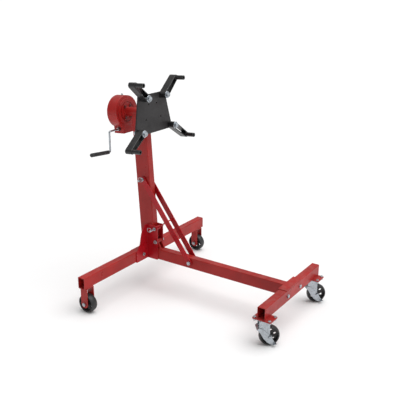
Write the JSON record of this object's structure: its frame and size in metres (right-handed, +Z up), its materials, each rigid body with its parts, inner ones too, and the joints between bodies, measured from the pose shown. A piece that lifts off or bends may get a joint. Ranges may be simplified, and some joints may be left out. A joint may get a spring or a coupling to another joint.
{
  "type": "engine stand",
  "caption": "Wheeled engine stand: worm-geared turning head with slotted arms on a leaning mast, braced to a folding beam with a cross foot on casters.",
  "frame": {"origin": "on the floor, under the middle of the footprint's bounding box", "axes": "+X forward along the main beam, away from the mast; +Y to the left; +Z up"},
  "size_m": [1.106, 1.02, 1.097],
  "materials": {
    "red_paint": "semi-gloss powder coat",
    "deep_red_paint": "semi-gloss powder coat",
    "black_paint": "satin powder coat",
    "zinc": "bright zinc plate",
    "bright_steel": "machined",
    "bronze": "machined",
    "wheel_black": "moulded, matt",
    "black_plastic": "moulded, matt"
  },
  "bodies": {
    "base": {"left_leg": "red_paint", "right_leg": "red_paint", "mast": "red_paint", "left_bracket": "deep_red_paint", "right_bracket": "deep_red_paint", "rear_tie_plate": "deep_red_paint", "leg_bolts": "zinc", "hinge_bolt": "zinc", "left_rear_fork": "red_paint", "right_rear_fork": "red_paint", "rear_axle_bolts": "zinc", "gearbox_housing": "red_paint", "gearbox_cover": "red_paint", "gearbox_bolts": "black_paint", "grease_nipple": "zinc", "spindle_housing": "red_paint", "spindle_bushes": "bronze", "worm_bushes": "black_plastic"},
    "rear_wheel_left": {"left_rear_wheel": "wheel_black"},
    "rear_wheel_right": {"right_rear_wheel": "wheel_black"},
    "beam": {"main_beam": "red_paint", "hinge_sleeve": "red_paint", "hinge_lugs": "red_paint", "crossbar_socket": "red_paint", "front_crossbar": "red_paint", "crossbar_bolts": "zinc", "brace_bolt": "zinc", "caster_mounting_plates": "red_paint", "caster_top_plates": "zinc", "caster_bolts": "zinc"},
    "brace": {"left_brace": "deep_red_paint", "right_brace": "deep_red_paint", "brace_strut": "deep_red_paint"},
    "upper_pin": {"upper_lock_pin": "zinc"},
    "upper_ring": {"upper_pin_ring": "zinc"},
    "lower_pin": {"lower_lock_pin": "zinc"},
    "lower_ring": {"lower_pin_ring": "zinc"},
    "head": {"spindle": "bright_steel", "worm_wheel": "bronze", "spindle_flange": "black_paint", "faceplate": "black_paint"},
    "crank": {"worm": "bright_steel", "crank_rod": "zinc"},
    "grip": {"crank_grip": "black_plastic"},
    "upper_left_clamp": {"upper_left_arm_bolt": "zinc"},
    "upper_left_reach": {"upper_left_arm": "black_paint"},
    "upper_right_clamp": {"upper_right_arm_bolt": "zinc"},
    "upper_right_reach": {"upper_right_arm": "black_paint"},
    "lower_left_clamp": {"lower_left_arm_bolt": "zinc"},
    "lower_left_reach": {"lower_left_arm": "black_paint"},
    "lower_right_clamp": {"lower_right_arm_bolt": "zinc"},
    "lower_right_reach": {"lower_right_arm": "black_paint"},
    "caster_left": {"left_caster_fork": "zinc", "left_caster_axle": "zinc"},
    "caster_wheel_left": {"left_caster_wheel": "wheel_black"},
    "brake_left": {"left_brake_lever": "zinc"},
    "caster_right": {"right_caster_fork": "zinc", "right_caster_axle": "zinc"},
    "caster_wheel_right": {"right_caster_wheel": "wheel_black"},
    "brake_right": {"right_brake_lever": "zinc"}
  },
  "joints": [
    {"name": "head_spin", "type": "hinge", "parent": "base", "child": "head", "pos_m": [-0.39432, 0, 0.91754], "axis": [0.9981, 0, 0.061], "continuous": true},
    {"name": "crank_spin", "type": "hinge", "parent": "base", "child": "crank", "pos_m": [-0.5076, 0, 0.82445], "axis": [0, 1, 0], "continuous": true},
    {"name": "grip_spin", "type": "hinge", "parent": "crank", "child": "grip", "pos_m": [-0.5076, -0.115, 0.71845], "axis": [0, -0.9962, 0.0872], "continuous": true},
    {"name": "beam_fold", "type": "hinge", "parent": "base", "child": "beam", "pos_m": [-0.29708, 0, 0.236], "axis": [0, -1, 0], "range_deg": [0, 80]},
    {"name": "brace_fold", "type": "hinge", "parent": "beam", "child": "brace", "pos_m": [-0.07808, 0, 0.17], "axis": [0, -1, 0], "range_deg": [-114, 0]},
    {"name": "upper_pin_pull", "type": "slide", "parent": "base", "child": "upper_pin", "axis": [0, -1, 0], "range_m": [0, 0.065]},
    {"name": "upper_ring_swing", "type": "hinge", "parent": "upper_pin", "child": "upper_ring", "pos_m": [-0.37108, -0.057, 0.572], "axis": [0.6157, 0, -0.788], "range_deg": [0, 100]},
    {"name": "lower_pin_pull", "type": "slide", "parent": "base", "child": "lower_pin", "axis": [0, -1, 0], "range_m": [0, 0.078]},
    {"name": "lower_ring_swing", "type": "hinge", "parent": "lower_pin", "child": "lower_ring", "pos_m": [-0.30108, -0.057, 0.309], "axis": [0.0872, 0, 0.9962], "range_deg": [0, 100]},
    {"name": "upper_left_arm_swivel", "type": "hinge", "parent": "head", "child": "upper_left_clamp", "pos_m": [-0.31637, 0.073, 1.00596], "axis": [0.9981, 0, 0.061], "range_deg": [-20, 20]},
    {"name": "upper_left_arm_slide", "type": "slide", "parent": "upper_left_clamp", "child": "upper_left_reach", "axis": [0.0399, -0.7574, -0.6517], "range_m": [0, 0.07]},
    {"name": "upper_right_arm_swivel", "type": "hinge", "parent": "head", "child": "upper_right_clamp", "pos_m": [-0.31637, -0.073, 1.00596], "axis": [0.9981, 0, 0.061], "range_deg": [-20, 20]},
    {"name": "upper_right_arm_slide", "type": "slide", "parent": "upper_right_clamp", "child": "upper_right_reach", "axis": [0.0399, 0.7574, -0.6517], "range_m": [0, 0.07]},
    {"name": "lower_left_arm_swivel", "type": "hinge", "parent": "head", "child": "lower_left_clamp", "pos_m": [-0.30642, 0.126, 0.84327], "axis": [0.9981, 0, 0.061], "range_deg": [-20, 20]},
    {"name": "lower_left_arm_slide", "type": "slide", "parent": "lower_left_clamp", "child": "lower_left_reach", "axis": [-0.0351, -0.818, 0.5741], "range_m": [0, 0.07]},
    {"name": "lower_right_arm_swivel", "type": "hinge", "parent": "head", "child": "lower_right_clamp", "pos_m": [-0.30642, -0.126, 0.84327], "axis": [0.9981, 0, 0.061], "range_deg": [-20, 20]},
    {"name": "lower_right_arm_slide", "type": "slide", "parent": "lower_right_clamp", "child": "lower_right_reach", "axis": [-0.0351, 0.818, 0.5741], "range_m": [0, 0.07]},
    {"name": "left_rear_wheel_spin", "type": "hinge", "parent": "base", "child": "rear_wheel_left", "pos_m": [-0.37608, 0.472, 0.048], "axis": [0, 1, 0], "continuous": true},
    {"name": "left_caster_swivel", "type": "hinge", "parent": "beam", "child": "caster_left", "pos_m": [0.49092, 0.249, 0.124], "axis": [0, 0, 1], "continuous": true},
    {"name": "left_caster_wheel_spin", "type": "hinge", "parent": "caster_left", "child": "caster_wheel_left", "pos_m": [0.50808, 0.2634, 0.048], "axis": [-0.6428, 0.766, 0], "continuous": true},
    {"name": "left_brake_press", "type": "hinge", "parent": "caster_left", "child": "brake_left", "pos_m": [0.50808, 0.2634, 0.048], "axis": [0.6428, -0.766, 0], "range_deg": [0, 10]},
    {"name": "right_rear_wheel_spin", "type": "hinge", "parent": "base", "child": "rear_wheel_right", "pos_m": [-0.37608, -0.472, 0.048], "axis": [0, 1, 0], "continuous": true},
    {"name": "right_caster_swivel", "type": "hinge", "parent": "beam", "child": "caster_right", "pos_m": [0.49092, -0.249, 0.124], "axis": [0, 0, 1], "continuous": true},
    {"name": "right_caster_wheel_spin", "type": "hinge", "parent": "caster_right", "child": "caster_wheel_right", "pos_m": [0.50808, -0.2346, 0.048], "axis": [-0.6428, 0.766, 0], "continuous": true},
    {"name": "right_brake_press", "type": "hinge", "parent": "caster_right", "child": "brake_right", "pos_m": [0.50808, -0.2346, 0.048], "axis": [0.6428, -0.766, 0], "range_deg": [0, 10]}
  ],
  "couplings": [
    {"joint": "crank_spin", "follows": "head_spin", "ratio": -45},
    {"joint": "brace_fold", "follows": "beam_fold", "ratio": -1.416}
  ]
}
